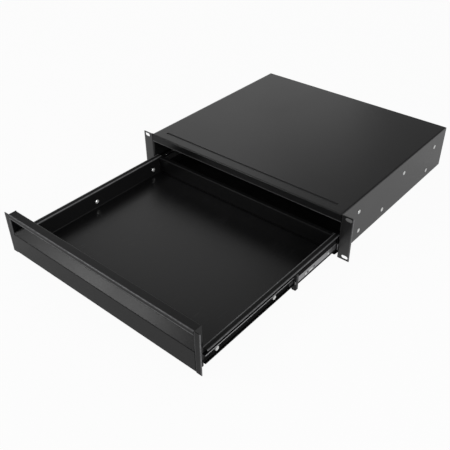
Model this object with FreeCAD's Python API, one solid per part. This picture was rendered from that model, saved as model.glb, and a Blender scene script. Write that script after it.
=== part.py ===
import FreeCAD, Part
import math
import os
from FreeCAD import Placement, Rotation, Vector

# Sliding rack drawer, two rack units high, in millimetres.
# Origin: centre of the ear hole pattern on the rear face of the rack ears.
# +X to the right seen from the front, +Y into the rack, +Z up. The drawer is drawn out.

# --- rack interface -------------------------------------------------------------------
RACK_PITCH = 44.45            # height of one rack unit
RACK_UNITS = 2
EAR_HEIGHT_GAP = 0.9          # a panel is this much lower than its rack units
EAR_SPAN = 482.6              # over both ears
EAR_WIDTH = 21.8              # each ear, beyond the side of the case
EAR_HOLE_EDGE = 8.75          # hole centres in from the ears' outer edges
HOLE_SPACING_Z = 76.2
EAR_SLOT_LENGTH = 12.5
EAR_SLOT_WIDTH = 7.0

# --- case -----------------------------------------------------------------------------
CASE_DEPTH = 393.0
SIDE_SHEET = 1.5
EAR_BEND = 1.6                # inside radius where the ear folds out of the side plate
BASE_BEND = 1.6               # inside radius between the bottom and the sides
BOTTOM_SETBACK = 15.0         # bottom's front edge behind the front of the ears
COVER_SHEET = 1.2
COVER_BEND = 1.2
COVER_DROP = 0.4              # cover's top face below the top of the ears
PLATE_DROP = 1.2              # side plate's top edge below the cover's top face
FRONT_FLANGE_HEIGHT = 16.5
FRONT_FLANGE_RETURN = 6.0     # stiffening fold along the front flange's lower edge
COVER_FLANGE_HEIGHT = 36.0    # side flanges tucked inside the side plates
REAR_WALL_GAP = 0.3           # rear wall's lower edge above the bottom
COVER_END_GAP = 0.2
BEAD_SETBACK = 21.5           # pressed bead behind the front edge of the cover
BEAD_END_MARGIN = 20.5        # from each end of the bead to the side of the case
BEAD_RADIUS = 4.0
BEAD_DEPTH = 1.6
COVER_SCREW_Z = 18.5
COVER_SCREW_SETBACKS = (58.0, 220.0, 347.0)

# --- ball-bearing slides ----------------------------------------------------------------
SLIDE_WIDTH = 12.7            # from the side plate to the tray wall
SLIDE_Z = -25.0               # centre line of the slides
SLIDE_SHEET = 1.2
CABINET_HEIGHT = 35.0
CABINET_LENGTH = 350.0
CABINET_SETBACK = 0.5         # front end behind the front face of the ears
CABINET_WEB_HEIGHT = 21.6
CABINET_SHOULDER = 5.0        # where its flanges begin, from the side plate
CABINET_LIP = 9.6             # how far its flanges reach from the side plate
CABINET_BEND = 3.0
MIDDLE_HEIGHT = 26.6
MIDDLE_LENGTH = 335.0
MIDDLE_OFFSET = 3.8           # web's outer face from the side plate
MIDDLE_SETBACK = -0.6         # front end from the cabinet member's, drawer closed
MIDDLE_WEB_HEIGHT = 15.0
MIDDLE_SHOULDER = 7.4
MIDDLE_LIP = 11.2
MIDDLE_BEND = 2.0
DRAWER_MEMBER_HEIGHT = 18.0
DRAWER_MEMBER_LENGTH = 344.0
DRAWER_MEMBER_SETBACK = 0.4   # front end behind the back of the front panel
DRAWER_MEMBER_LIP = 5.9       # from its web's back to its flange tips
DRAWER_MEMBER_HOOK = 1.4      # width of the hooked edge of its flanges
DRAWER_MEMBER_HOOK_DROP = 1.1
DRAWER_MEMBER_BEND = 0.8
BALL_RADIUS = 1.5
BALL_CLEARANCE = 0.15         # ball to race
CAGE_HOLE_GAP = 0.1           # ball to cage
CAGE_BEND = 1.0
OUTER_ROW = 8.4               # ball rows, measured from the side plate
INNER_ROW = 9.4
OUTER_CAGE_SHEET = 0.5
OUTER_CAGE_LENGTH = 110.0
OUTER_CAGE_SETBACK = 13.0     # behind the cabinet member's front end, drawer open
OUTER_CAGE_SHOULDER = 6.0
OUTER_CAGE_WEB = 2.35         # cage web's middle, measured from the side plate
OUTER_CAGE_WEB_HEIGHT = 17.0
INNER_CAGE_SHEET = 0.4
INNER_CAGE_LENGTH = 80.0
INNER_CAGE_SETBACK = 20.5     # behind the middle member's front end, drawer open
INNER_CAGE_SHOULDER = 7.4
INNER_CAGE_WEB = 5.5
INNER_CAGE_WEB_HEIGHT = 13.6
CAGE_LIP = 1.4                # cage beyond the middle of its ball row
BALLS_PER_ROW = 5
CABINET_SCREW_SETBACKS = (65.0, 148.0, 326.0)
WEB_SLOT_LENGTH = 12.0
WEB_SLOT_WIDTH = 4.4
CABINET_SLOT_SETBACKS = (30.0, 106.0, 205.0, 270.0)
MIDDLE_STOP_SETBACK = 38.5    # pressed stop in the middle member's web, from its front end
MIDDLE_STOP_LENGTH = 10.5
MIDDLE_STOP_WIDTH = 3.4
MIDDLE_HOLE_SETBACKS = (30.1, 48.6, 180.0, 250.0)
MIDDLE_HOLE_RADIUS = 1.9
MIDDLE_RIVET_SETBACKS = (24.5, 90.5, 300.0)
MIDDLE_RIVET_RADIUS = 2.2
RIVET_HEAD_PROUD = 0.3
FRONT_BUMPER_LENGTH = 5.0
FRONT_BUMPER_HEIGHT = 33.0
FRONT_BUMPER_OVERHANG = 2.4   # beyond the outer face of the middle member's web
FRONT_BUMPER_CORNER = 3.0
FRONT_BUMPER_GAP = 0.5        # to the panel's end wall, and round the drawer member
REAR_BUMPER_LENGTH = 6.0
REAR_BUMPER_HEIGHT = 17.0
REAR_BUMPER_CORNER = 2.0
BUMPER_GAP = 0.3

# --- travel -----------------------------------------------------------------------------
OPEN_AT_REST = 326.4          # how far the drawer stands open as modelled
CLOSED_GAP = 0.5              # closed front panel to the front face of the ears
MIDDLE_RATIO = 0.346          # middle member's travel for each unit of the drawer's

# --- drawer tray ------------------------------------------------------------------------
TRAY_SHEET = 1.2
TRAY_BEND = 1.4
TRAY_FLOOR_LIFT = 5.5         # under side of the floor above the case's lower edge
TRAY_SIDE_HEIGHT = 34.5
TRAY_DEPTH = 327.5
TRAY_LEDGE = 9.9              # ledge over the slides, beyond the tray wall
TRAY_REAR_LEDGE = 7.4
TRAY_WALL_GAP = 0.2           # back wall's ends to the tray's sides
TRAY_FRONT_HEIGHT = 63.5      # tall front wall
DRAWER_SCREW_SETBACKS = (26.9, 160.9, 308.4)

# --- front panel ------------------------------------------------------------------------
PANEL_SHEET = 1.2
PANEL_BEND = 0.8
PANEL_DEPTH = 15.4
PANEL_SIDE_GAP = 1.5          # end flanges in from the sides of the case
PANEL_HEIGHT = 79.4
PANEL_LIFT = 5.0              # lower edge above the case's lower edge
END_FLANGE = 10.5             # visible width of each end flange
LIP_DOWNTURN = 8.1
RECESS_EDGE = 39.1            # front edge of the recess above the panel's lower edge
RECESS_RISE = 11.0            # climb of the sloped recess floor to its back
RETURN_HEIGHT = 13.6          # upturned edge of the bottom return
PANEL_SCREW_LIFT = 8.0
PANEL_SCREWS = 4
PANEL_SCREW_EDGE = 40.3       # outer screws in from the tray's sides

# --- fasteners --------------------------------------------------------------------------
SCREW_RADIUS = 2.0
SCREW_CLEARANCE = 0.15
THREAD_GAP = 0.02             # round a screw in its tapped hole, a rivet in its sheet
SCREW_HEAD_RADIUS = 4.0
SCREW_HEAD_HEIGHT = 1.9
SCREW_CROWN = 1.25            # height of the domed part of the head
RECESS_WIDTH = 1.1
RECESS_LENGTH = 4.4
RECESS_DEPTH = 1.1
NUT_FLATS = 7.0
NUT_HEIGHT = 3.0
SCREW_POINT = 0.4             # thread past the sheet or nut that it ends in

# --- release levers ---------------------------------------------------------------------
LEVER_LENGTH = 61.0
LEVER_PIVOT_SETBACK = 258.4   # pivot behind the drawer member's front end
LEVER_THICKNESS = 2.0
LEVER_WIDTH = 4.0
LEVER_TAB_LENGTH = 16.0
LEVER_TAB_WIDTH = 6.0
LEVER_HUB_RADIUS = 4.0
LEVER_OFFSET = 3.8            # lever's outer face inside the drawer member's web face
LEVER_PIN_RADIUS = 1.9
LEVER_PIN_CLEARANCE = 0.08
LEVER_PIN_HEAD_RADIUS = 3.0
LEVER_PIN_HEAD = 0.4
LEVER_SIDE_GAP = 0.3

# --- places worked out from the sizes ---------------------------------------------------
EAR_HEIGHT = RACK_UNITS * RACK_PITCH - EAR_HEIGHT_GAP
BOTTOM_Z = -EAR_HEIGHT / 2
EAR_TOP_Z = EAR_HEIGHT / 2
FRONT_Y = -SIDE_SHEET                     # front face of the ears
REAR_Y = FRONT_Y + CASE_DEPTH
SIDE_OUT_X = EAR_SPAN / 2 - EAR_WIDTH
SIDE_IN_X = SIDE_OUT_X - SIDE_SHEET
COVER_TOP_Z = EAR_TOP_Z - COVER_DROP
PLATE_TOP_Z = COVER_TOP_Z - PLATE_DROP
COVER_FLANGE_IN_X = SIDE_IN_X - COVER_SHEET

PANEL_BACK_Y = FRONT_Y - CLOSED_GAP - OPEN_AT_REST
PANEL_FRONT_Y = PANEL_BACK_Y - PANEL_DEPTH
PANEL_BOTTOM_Z = BOTTOM_Z + PANEL_LIFT
PANEL_TOP_Z = PANEL_BOTTOM_Z + PANEL_HEIGHT
PANEL_END_X = SIDE_OUT_X - PANEL_SIDE_GAP  # outer edges of the panel's end flanges
END_WALL_X = PANEL_END_X - END_FLANGE      # outer face of the panel's end walls

TRAY_WALL_X = SIDE_IN_X - SLIDE_WIDTH      # outer face of the tray's side walls
TRAY_FLOOR_Z = BOTTOM_Z + TRAY_FLOOR_LIFT  # under side of the floor
TRAY_RIM_Z = TRAY_FLOOR_Z + TRAY_SIDE_HEIGHT
TRAY_REAR_Y = PANEL_BACK_Y + TRAY_DEPTH

CABINET_FRONT_Y = FRONT_Y + CABINET_SETBACK
CABINET_REAR_Y = CABINET_FRONT_Y + CABINET_LENGTH
MIDDLE_FRONT_CLOSED_Y = CABINET_FRONT_Y + MIDDLE_SETBACK
MIDDLE_FRONT_Y = MIDDLE_FRONT_CLOSED_Y - MIDDLE_RATIO * OPEN_AT_REST
DRAWER_MEMBER_FRONT_Y = PANEL_BACK_Y + DRAWER_MEMBER_SETBACK
REAR_BUMPER_Y = (DRAWER_MEMBER_FRONT_Y + DRAWER_MEMBER_LENGTH + OPEN_AT_REST
                 + BUMPER_GAP)

OUTER_ROW_H = (CABINET_HEIGHT + MIDDLE_HEIGHT) / 4 - SLIDE_SHEET / 2
INNER_ROW_H = (MIDDLE_HEIGHT + DRAWER_MEMBER_HEIGHT) / 4 - SLIDE_SHEET / 2
DRAWER_WEB_U = SLIDE_WIDTH - SLIDE_SHEET   # drawer member web's outer face
OUTER_CAGE_Y = CABINET_FRONT_Y + OUTER_CAGE_SETBACK
INNER_CAGE_Y = MIDDLE_FRONT_Y + INNER_CAGE_SETBACK
LEVER_PIVOT_Y = DRAWER_MEMBER_FRONT_Y + LEVER_PIVOT_SETBACK

X_AXIS = Vector(1, 0, 0)
Y_AXIS = Vector(0, 1, 0)
Z_AXIS = Vector(0, 0, 1)


# --- construction helpers ---------------------------------------------------------------
def box(x_range, y_range, z_range):
    size = [high - low for low, high in (x_range, y_range, z_range)]
    return Part.makeBox(*size, Vector(x_range[0], y_range[0], z_range[0]))


def rod(start, end, radius):
    along = end - start
    return Part.makeCylinder(radius, along.Length, start, along)


def fuse(shapes):
    return shapes[0].multiFuse(shapes[1:]).removeSplitter() if shapes[1:] else shapes[0]


def mirrored(shape):
    return shape.mirror(Vector(0, 0, 0), X_AXIS)


def left_normal(direction):
    return Vector(-direction.y, direction.x, 0)


def offset_edges(points, radius, shift):
    """One face of a folded sheet: the middle line moved sideways, with round bends."""
    edges = []
    first = (points[1] - points[0]).normalize()
    start = points[0] + left_normal(first) * shift
    here = start
    for index in range(1, len(points) - 1):
        corner = points[index]
        before = (corner - points[index - 1]).normalize()
        after = (points[index + 1] - corner).normalize()
        turn = 1 if before.cross(after).z > 0 else -1
        run = radius * math.tan(before.getAngle(after) / 2)
        bend_start = corner - before * run
        bend_end = corner + after * run
        centre = bend_start + left_normal(before) * (turn * radius)
        outward = (corner - centre).normalize()
        arc_start = bend_start + left_normal(before) * shift
        arc_end = bend_end + left_normal(after) * shift
        arc_middle = centre + outward * (radius - turn * shift)
        edges.append(Part.LineSegment(here, arc_start).toShape())
        edges.append(Part.Arc(arc_start, arc_middle, arc_end).toShape())
        here = arc_end
    last = (points[-1] - points[-2]).normalize()
    end = points[-1] + left_normal(last) * shift
    edges.append(Part.LineSegment(here, end).toShape())
    return edges, start, end


def folded_section(middle_line, sheet, bend):
    """Cross-section of a folded sheet from its middle line and inside bend radius."""
    points = [Vector(a, b, 0) for a, b in middle_line]
    one, one_start, one_end = offset_edges(points, bend + sheet / 2, sheet / 2)
    other, other_start, other_end = offset_edges(points, bend + sheet / 2, -sheet / 2)
    caps = [
        Part.LineSegment(one_start, other_start).toShape(),
        Part.LineSegment(one_end, other_end).toShape(),
    ]
    wire = Part.Wire(Part.__sortEdges__(one + other + caps))
    return Part.Face(wire)


def run_along_y(face, y_range):
    """Section drawn as (x, z), run along Y."""
    placed = face.copy()
    placed.Placement = Placement(Vector(0, y_range[0], 0), Rotation(X_AXIS, 90))
    return placed.extrude(Y_AXIS * (y_range[1] - y_range[0]))


def run_along_x(face, x_range):
    """Section drawn as (y, z), run along X."""
    placed = face.copy()
    turn = Rotation(Y_AXIS, Z_AXIS, X_AXIS, "XYZ")
    placed.Placement = Placement(Vector(x_range[0], 0, 0), turn)
    return placed.extrude(X_AXIS * (x_range[1] - x_range[0]))


def run_along_z(face, z_range):
    """Section drawn as (x, y), run along Z."""
    placed = face.copy()
    placed.translate(Z_AXIS * z_range[0])
    return placed.extrude(Z_AXIS * (z_range[1] - z_range[0]))


def slot_through(centre, along, through, length, width, depth):
    """Round-ended cutter: length is end to end, depth is along its axis."""
    half_run = along * ((length - width) / 2)
    start = centre - through * (depth / 2)
    ends = [
        Part.makeCylinder(width / 2, depth, start + half_run, through),
        Part.makeCylinder(width / 2, depth, start - half_run, through),
    ]
    across = along.cross(through) * (width / 2)
    corners = [
        start - half_run - across,
        start + half_run - across,
        start + half_run + across,
        start - half_run + across,
    ]
    middle = Part.Face(Part.makePolygon(corners + corners[:1])).extrude(through * depth)
    return fuse([middle] + ends)


def pan_screw(seat, outward, grip):
    """Cross-recessed pan-head screw: its head stands on seat, its shank runs inwards."""
    crown = (SCREW_HEAD_RADIUS ** 2 + SCREW_CROWN ** 2) / (2 * SCREW_CROWN)
    head = Part.makeCylinder(SCREW_HEAD_RADIUS, SCREW_HEAD_HEIGHT).common(
        Part.makeSphere(crown, Vector(0, 0, SCREW_HEAD_HEIGHT - crown))
    )
    half = RECESS_LENGTH / 2
    bar = RECESS_WIDTH / 2
    depth_range = (SCREW_HEAD_HEIGHT - RECESS_DEPTH, SCREW_HEAD_HEIGHT)
    cross = box((-half, half), (-bar, bar), depth_range)
    cross = cross.fuse(box((-bar, bar), (-half, half), depth_range))
    shank = Part.makeCylinder(SCREW_RADIUS, grip, Vector(0, 0, -grip))
    screw = head.cut(cross).fuse(shank).removeSplitter()
    screw.Placement = Placement(seat, Rotation(Z_AXIS, outward))
    return screw


def hex_nut(seat, outward):
    """Hexagon nut standing on seat."""
    corner = NUT_FLATS / math.sqrt(3)
    ring = [
        Vector(corner * math.cos(math.radians(60 * k)), corner * math.sin(math.radians(60 * k)), 0)
        for k in range(7)
    ]
    nut = Part.Face(Part.makePolygon(ring)).extrude(Z_AXIS * NUT_HEIGHT)
    nut = nut.cut(Part.makeCylinder(SCREW_RADIUS + THREAD_GAP, NUT_HEIGHT))
    nut.Placement = Placement(seat, Rotation(Z_AXIS, outward))
    return nut


def screw_hole(seat, axis, depth):
    """Clearance hole cutter centred on seat."""
    return rod(seat - axis * depth, seat + axis * depth, SCREW_RADIUS + SCREW_CLEARANCE)


def slide_point(u, y, h=0.0):
    """Point in the right-hand slide: u inwards from the side plate, h above centre."""
    return Vector(SIDE_IN_X - u, y, SLIDE_Z + h)


def slide_section(half_line, sheet, bend):
    """Symmetric slide section from its upper half, drawn as (u, h) from web to lip."""
    upper = [(SIDE_IN_X - u, SLIDE_Z + h) for u, h in half_line]
    lower = [(SIDE_IN_X - u, SLIDE_Z - h) for u, h in reversed(half_line)]
    return folded_section(lower + upper, sheet, bend)


def race_cutters(u, h, y_range):
    """The two ball grooves of one race, above and below the slide's centre line."""
    radius = BALL_RADIUS + BALL_CLEARANCE
    return [
        rod(slide_point(u, y_range[0], sign * h), slide_point(u, y_range[1], sign * h), radius)
        for sign in (1, -1)
    ]


# --- case -------------------------------------------------------------------------------
def case_base():
    """Bottom, sides and rack ears folded from one sheet."""
    middle_y = FRONT_Y + SIDE_SHEET / 2
    middle_x = SIDE_OUT_X - SIDE_SHEET / 2
    middle_z = BOTTOM_Z + SIDE_SHEET / 2
    bottom_y = FRONT_Y + BOTTOM_SETBACK
    plan = [(EAR_SPAN / 2, middle_y), (middle_x, middle_y), (middle_x, REAR_Y)]
    side = run_along_z(folded_section(plan, SIDE_SHEET, EAR_BEND), (BOTTOM_Z, EAR_TOP_Z))
    bend_top_z = BOTTOM_Z + SIDE_SHEET + 2 * BASE_BEND
    side = side.cut([
        box((0, SIDE_OUT_X), (SIDE_SHEET, REAR_Y), (PLATE_TOP_Z, EAR_TOP_Z)),
        box((0, SIDE_OUT_X), (bottom_y, REAR_Y), (BOTTOM_Z, bend_top_z)),
    ])
    cutters = [
        slot_through(
            Vector(EAR_SPAN / 2 - EAR_HOLE_EDGE, middle_y, sign * HOLE_SPACING_Z / 2),
            X_AXIS, Y_AXIS, EAR_SLOT_LENGTH, EAR_SLOT_WIDTH, 4 * SIDE_SHEET,
        )
        for sign in (1, -1)
    ]
    cutters += [screw_hole(seat, X_AXIS, 2 * SIDE_SHEET) for seat in cabinet_screw_seats()]
    cutters += [screw_hole(seat, X_AXIS, 2 * SIDE_SHEET) for seat in cover_screw_seats()]
    side = side.cut(cutters)
    across = [
        (middle_x, bend_top_z), (middle_x, middle_z), (-middle_x, middle_z), (-middle_x, bend_top_z),
    ]
    bottom = run_along_y(folded_section(across, SIDE_SHEET, BASE_BEND), (bottom_y, REAR_Y))
    return fuse([bottom, side, mirrored(side)])


def cabinet_screw_seats():
    return [
        Vector(SIDE_OUT_X, FRONT_Y + setback, SLIDE_Z) for setback in CABINET_SCREW_SETBACKS
    ]


def cover_screw_seats():
    return [
        Vector(SIDE_OUT_X, FRONT_Y + setback, COVER_SCREW_Z) for setback in COVER_SCREW_SETBACKS
    ]


def top_cover():
    """Cover folded from one sheet: top, front flange, side flanges and rear wall."""
    half = COVER_SHEET / 2
    flange_x = SIDE_IN_X - half
    top_z = COVER_TOP_Z - half
    flange_z = COVER_TOP_Z - COVER_FLANGE_HEIGHT
    across = [(flange_x, flange_z), (flange_x, top_z), (-flange_x, top_z), (-flange_x, flange_z)]
    end_run = COVER_BEND + COVER_SHEET
    roof = run_along_y(
        folded_section(across, COVER_SHEET, COVER_BEND), (FRONT_Y + end_run, REAR_Y - end_run)
    )
    return_z = COVER_TOP_Z - FRONT_FLANGE_HEIGHT + half
    along = [
        (FRONT_Y + FRONT_FLANGE_RETURN, return_z),
        (FRONT_Y + half, return_z),
        (FRONT_Y + half, top_z),
        (REAR_Y - half, top_z),
        (REAR_Y - half, BOTTOM_Z + SIDE_SHEET + REAR_WALL_GAP),
    ]
    width = SIDE_IN_X - COVER_END_GAP
    ends = run_along_x(folded_section(along, COVER_SHEET, COVER_BEND), (-width, width))
    inside = SIDE_IN_X - end_run
    middle = box((-inside, inside), (FRONT_Y, REAR_Y), (BOTTOM_Z, EAR_TOP_Z))
    roof_y = (FRONT_Y + end_run, REAR_Y - end_run)
    tabs = box((-SIDE_IN_X, SIDE_IN_X), roof_y, (BOTTOM_Z, EAR_TOP_Z))
    cover = fuse([roof, ends.common(middle), ends.cut(tabs)])
    bead_z = COVER_TOP_Z - BEAD_DEPTH + BEAD_RADIUS
    bead_y = FRONT_Y + BEAD_SETBACK
    end_slope = math.sqrt(BEAD_RADIUS ** 2 - (BEAD_RADIUS - BEAD_DEPTH) ** 2)
    reach = SIDE_OUT_X - BEAD_END_MARGIN - end_slope
    under_skin = box((-SIDE_IN_X, SIDE_IN_X), (FRONT_Y, REAR_Y), (BOTTOM_Z, top_z))
    bead_back = bead_form(reach, bead_y, bead_z, BEAD_RADIUS + COVER_SHEET)
    cover = cover.fuse(bead_back.common(under_skin))
    cover = cover.cut(bead_form(reach, bead_y, bead_z, BEAD_RADIUS)).removeSplitter()
    corner_z = (BOTTOM_Z, BOTTOM_Z + SIDE_SHEET + BASE_BEND)
    corner_y = (REAR_Y - 2 * COVER_SHEET, REAR_Y)
    cover = cover.cut([
        box((width - BASE_BEND, SIDE_IN_X), corner_y, corner_z),
        box((-SIDE_IN_X, BASE_BEND - width), corner_y, corner_z),
    ])
    for sign in (1, -1):
        cover = cover.cut([
            screw_hole(Vector(sign * seat.x, seat.y, seat.z), X_AXIS, 3 * SIDE_SHEET)
            for seat in cover_screw_seats()
        ])
    return cover


def bead_form(reach, y, z, radius):
    """Round-ended rod along X that shapes one face of the pressed bead."""
    left = Vector(-reach, y, z)
    right = Vector(reach, y, z)
    return fuse([
        rod(left, right, radius),
        Part.makeSphere(radius, left),
        Part.makeSphere(radius, right),
    ])


def cover_screws():
    grip = SIDE_SHEET + COVER_SHEET + NUT_HEIGHT + SCREW_POINT
    return [pan_screw(seat, X_AXIS, grip) for seat in cover_screw_seats()]


def cover_nuts():
    return [
        hex_nut(Vector(COVER_FLANGE_IN_X, seat.y, seat.z), -X_AXIS) for seat in cover_screw_seats()
    ]


def cabinet_screws():
    grip = SIDE_SHEET + SLIDE_SHEET + SCREW_POINT
    return [pan_screw(seat, X_AXIS, grip) for seat in cabinet_screw_seats()]


# --- ball-bearing slide, right hand -------------------------------------------------------
def cabinet_member():
    """Outer section of the slide, fixed to the side of the base."""
    half = SLIDE_SHEET / 2
    line = [
        (half, CABINET_WEB_HEIGHT / 2),
        (CABINET_SHOULDER, CABINET_HEIGHT / 2 - half),
        (CABINET_LIP, CABINET_HEIGHT / 2 - half),
    ]
    y_range = (CABINET_FRONT_Y, CABINET_REAR_Y)
    member = run_along_y(slide_section(line, SLIDE_SHEET, CABINET_BEND), y_range)
    cutters = race_cutters(OUTER_ROW, OUTER_ROW_H, y_range)
    cutters += [
        rod(seat - X_AXIS * 3 * SLIDE_SHEET, seat, SCREW_RADIUS + THREAD_GAP)
        for seat in cabinet_screw_seats()
    ]
    cutters += [
        slot_through(
            slide_point(half, FRONT_Y + setback), Y_AXIS, X_AXIS,
            WEB_SLOT_LENGTH, WEB_SLOT_WIDTH, 3 * SLIDE_SHEET,
        )
        for setback in CABINET_SLOT_SETBACKS
    ]
    return member.cut(cutters)


def middle_member():
    """Middle section of the slide, running between the two others."""
    half = SLIDE_SHEET / 2
    line = [
        (MIDDLE_OFFSET + half, MIDDLE_WEB_HEIGHT / 2),
        (MIDDLE_SHOULDER, MIDDLE_HEIGHT / 2 - half),
        (MIDDLE_LIP, MIDDLE_HEIGHT / 2 - half),
    ]
    y_range = (MIDDLE_FRONT_Y, MIDDLE_FRONT_Y + MIDDLE_LENGTH)
    member = run_along_y(slide_section(line, SLIDE_SHEET, MIDDLE_BEND), y_range)
    cutters = race_cutters(OUTER_ROW, OUTER_ROW_H, y_range)
    cutters += race_cutters(INNER_ROW, INNER_ROW_H, y_range)
    cutters += [middle_stop_form(3 * SLIDE_SHEET, 0, THREAD_GAP)]
    cutters += middle_rivet_forms(3 * SLIDE_SHEET, 0, THREAD_GAP)
    cutters += [
        rod(
            slide_point(MIDDLE_OFFSET - SLIDE_SHEET, MIDDLE_FRONT_Y + setback),
            slide_point(MIDDLE_OFFSET + 2 * SLIDE_SHEET, MIDDLE_FRONT_Y + setback),
            MIDDLE_HOLE_RADIUS,
        )
        for setback in MIDDLE_HOLE_SETBACKS
    ]
    return member.cut(cutters)


def middle_stop_form(depth, shift, gap=0.0):
    centre = slide_point(MIDDLE_OFFSET + SLIDE_SHEET / 2 - shift, MIDDLE_FRONT_Y + MIDDLE_STOP_SETBACK)
    length = MIDDLE_STOP_LENGTH + 2 * gap
    return slot_through(centre, Y_AXIS, X_AXIS, length, MIDDLE_STOP_WIDTH + 2 * gap, depth)


def middle_rivet_forms(depth, shift, gap=0.0):
    u = MIDDLE_OFFSET + SLIDE_SHEET / 2 - shift
    return [
        rod(
            slide_point(u + depth / 2, MIDDLE_FRONT_Y + setback),
            slide_point(u - depth / 2, MIDDLE_FRONT_Y + setback),
            MIDDLE_RIVET_RADIUS + gap,
        )
        for setback in MIDDLE_RIVET_SETBACKS
    ]


def middle_stops():
    """Pressed stop and rivets that fill the holes in the middle member's web."""
    depth = SLIDE_SHEET + RIVET_HEAD_PROUD
    shift = RIVET_HEAD_PROUD / 2
    return [middle_stop_form(depth, shift)] + middle_rivet_forms(depth, shift)


def middle_bumper():
    """Moulded bumper on the middle member's front end, open where the drawer member runs."""
    y_range = (MIDDLE_FRONT_Y - FRONT_BUMPER_LENGTH, MIDDLE_FRONT_Y)
    half = FRONT_BUMPER_HEIGHT / 2
    near = SIDE_IN_X - MIDDLE_OFFSET + FRONT_BUMPER_OVERHANG
    far = END_WALL_X + FRONT_BUMPER_GAP
    block = box((far, near), y_range, (SLIDE_Z - half, SLIDE_Z + half))
    corners = [
        edge for edge in block.Edges
        if abs(edge.Vertexes[0].X - edge.Vertexes[1].X) < 1e-6
        and abs(edge.Vertexes[0].Z - edge.Vertexes[1].Z) < 1e-6
        and edge.Vertexes[0].X > near - 1e-6
    ]
    block = block.makeFillet(FRONT_BUMPER_CORNER, corners)
    passage_half = DRAWER_MEMBER_HEIGHT / 2 + FRONT_BUMPER_GAP
    passage_x = SIDE_IN_X - (SLIDE_WIDTH - DRAWER_MEMBER_LIP) + FRONT_BUMPER_GAP
    passage = box((far, passage_x), y_range, (SLIDE_Z - passage_half, SLIDE_Z + passage_half))
    return block.cut(passage)


def drawer_member():
    """Inner section of the slide, fixed to the tray wall."""
    half = SLIDE_SHEET / 2
    tip = SLIDE_WIDTH - DRAWER_MEMBER_LIP
    line = [
        (SLIDE_WIDTH - half, DRAWER_MEMBER_HEIGHT / 2 - half),
        (tip + DRAWER_MEMBER_HOOK, DRAWER_MEMBER_HEIGHT / 2 - half),
        (tip, DRAWER_MEMBER_HEIGHT / 2 - half - DRAWER_MEMBER_HOOK_DROP),
    ]
    y_range = (DRAWER_MEMBER_FRONT_Y, DRAWER_MEMBER_FRONT_Y + DRAWER_MEMBER_LENGTH)
    member = run_along_y(slide_section(line, SLIDE_SHEET, DRAWER_MEMBER_BEND), y_range)
    cutters = race_cutters(INNER_ROW, INNER_ROW_H, y_range)
    cutters += [
        rod(slide_point(SLIDE_WIDTH + 1, seat.y), slide_point(DRAWER_WEB_U - 1, seat.y),
            SCREW_RADIUS + SCREW_CLEARANCE)
        for seat in drawer_screw_seats()
    ]
    cutters.append(
        rod(slide_point(SLIDE_WIDTH + 1, LEVER_PIVOT_Y), slide_point(DRAWER_WEB_U - 1, LEVER_PIVOT_Y),
            LEVER_PIN_RADIUS + THREAD_GAP)
    )
    return member.cut(cutters)


def ball_cage(u, h, row_u, web_height, shoulder_u, sheet, y_start, length):
    """Ball cage folded round the inner of two members, pierced for its balls."""
    line = [(u, web_height / 2), (shoulder_u, h), (row_u + CAGE_LIP, h)]
    cage = run_along_y(slide_section(line, sheet, CAGE_BEND), (y_start, y_start + length))
    cutters = [
        rod(centre - Z_AXIS * BALL_RADIUS, centre + Z_AXIS * BALL_RADIUS, BALL_RADIUS + CAGE_HOLE_GAP)
        for centre in ball_centres(row_u, h, y_start, length)
    ]
    return cage.cut(cutters)


def ball_centres(row_u, h, y_start, length):
    pitch = length / BALLS_PER_ROW
    return [
        slide_point(row_u, y_start + pitch * (index + 0.5), sign * h)
        for sign in (1, -1)
        for index in range(BALLS_PER_ROW)
    ]


def outer_cage():
    return ball_cage(OUTER_CAGE_WEB, OUTER_ROW_H, OUTER_ROW, OUTER_CAGE_WEB_HEIGHT,
                     OUTER_CAGE_SHOULDER, OUTER_CAGE_SHEET, OUTER_CAGE_Y, OUTER_CAGE_LENGTH)


def inner_cage():
    return ball_cage(INNER_CAGE_WEB, INNER_ROW_H, INNER_ROW, INNER_CAGE_WEB_HEIGHT,
                     INNER_CAGE_SHOULDER, INNER_CAGE_SHEET, INNER_CAGE_Y, INNER_CAGE_LENGTH)


def balls(row_u, h, y_start, length):
    return [
        Part.makeSphere(BALL_RADIUS, centre) for centre in ball_centres(row_u, h, y_start, length)
    ]


def rear_bumper():
    """Rubber stop at the back of the cabinet member."""
    half = REAR_BUMPER_HEIGHT / 2
    block = box(
        (SIDE_IN_X - CABINET_LIP, SIDE_IN_X - SLIDE_SHEET),
        (REAR_BUMPER_Y, REAR_BUMPER_Y + REAR_BUMPER_LENGTH),
        (SLIDE_Z - half, SLIDE_Z + half),
    )
    corners = [edge for edge in block.Edges if edge.BoundBox.XLength > CABINET_LIP / 2]
    return block.makeFillet(REAR_BUMPER_CORNER, corners)


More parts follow.
